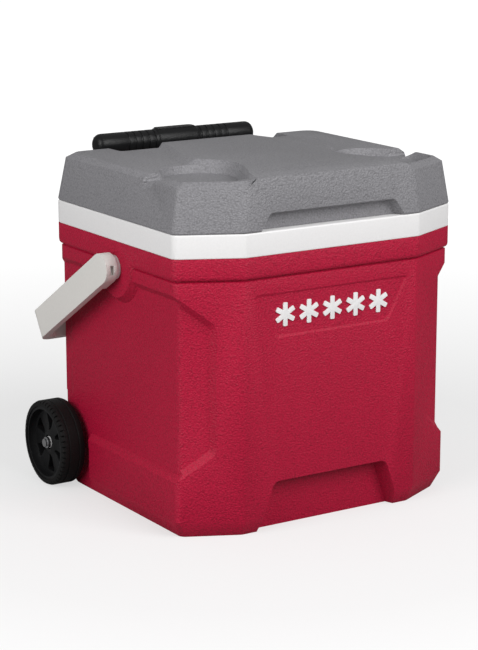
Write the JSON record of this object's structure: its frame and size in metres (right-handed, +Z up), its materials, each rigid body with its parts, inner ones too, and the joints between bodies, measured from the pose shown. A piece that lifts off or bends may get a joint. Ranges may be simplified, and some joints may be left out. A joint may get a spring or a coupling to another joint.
{
  "type": "cooler on wheels",
  "caption": "Insulated box cooler with a hinged lid, swing bail, telescoping pull handle and wheels on a rear axle.",
  "frame": {"origin": "on the floor, under the middle of the whole object's box", "axes": "+Z up, +Y towards the wheels and pull handle, +X to the right seen from the front"},
  "size_m": [0.434, 0.3786, 0.4163],
  "materials": {
    "red_shell": "fine pebbled moulding",
    "white_plastic": "smooth satin moulding",
    "grey_lid": "fine pebbled moulding",
    "bail_plastic": "satin moulding",
    "black_plastic": "satin moulding",
    "tread": "matt, ribbed",
    "steel": "bright",
    "dark_tube": "satin black coating",
    "foam": "rigid foam filling"
  },
  "bodies": {
    "root": {"body_shell": "red_shell", "liner": "white_plastic", "body_foam": "foam", "front_emblem": "white_plastic", "hinge_brackets": "white_plastic", "hinge_pins": "steel", "bail_pins": "bail_plastic", "bail_washers": "white_plastic", "rear_carriage": "black_plastic", "carriage_screws": "steel", "outer_tubes": "dark_tube", "outer_collars": "black_plastic", "axle": "steel", "axle_nuts": "steel", "axle_spacers": "black_plastic"},
    "lid": {"lid_shell": "grey_lid", "lid_foam": "foam", "lid_panel": "white_plastic", "lid_hinge_leaves": "grey_lid"},
    "bail": {"bail_handle": "bail_plastic"},
    "handle_middle": {"middle_tubes": "steel", "middle_bridge": "black_plastic"},
    "handle_top": {"upper_tubes": "steel", "lock_pins": "steel", "grip": "black_plastic", "button_spring": "steel"},
    "button": {"release_button": "black_plastic"},
    "left_wheel": {"wheel_left": "black_plastic", "tyre_left": "tread", "bush_left": "white_plastic"},
    "right_wheel": {"wheel_right": "black_plastic", "tyre_right": "tread", "bush_right": "white_plastic"}
  },
  "joints": [
    {"name": "lid_hinge", "type": "hinge", "parent": "root", "child": "lid", "pos_m": [0, 0.12972, 0.372], "axis": [-1, 0, 0], "range_deg": [0, 90]},
    {"name": "bail_swing", "type": "hinge", "parent": "root", "child": "bail", "pos_m": [0, -0.02328, 0.291], "axis": [1, 0, 0], "range_deg": [0, 166]},
    {"name": "handle_middle_slide", "type": "slide", "parent": "root", "child": "handle_middle", "axis": [0, 0, 1], "range_m": [0, 0.24]},
    {"name": "handle_top_slide", "type": "slide", "parent": "handle_middle", "child": "handle_top", "axis": [0, 0, 1], "range_m": [0, 0.24]},
    {"name": "button_press", "type": "slide", "parent": "handle_top", "child": "button", "axis": [0, 0, -1], "range_m": [0, 0.003], "stiffness_N_per_m": 400, "springref_m": -0.001, "deforming": ["button_spring"]},
    {"name": "left_wheel_spin", "type": "hinge", "parent": "root", "child": "left_wheel", "pos_m": [-0.201, 0.11172, 0.052], "axis": [1, 0, 0], "continuous": true},
    {"name": "right_wheel_spin", "type": "hinge", "parent": "root", "child": "right_wheel", "pos_m": [0.201, 0.11172, 0.052], "axis": [1, 0, 0], "continuous": true}
  ]
}
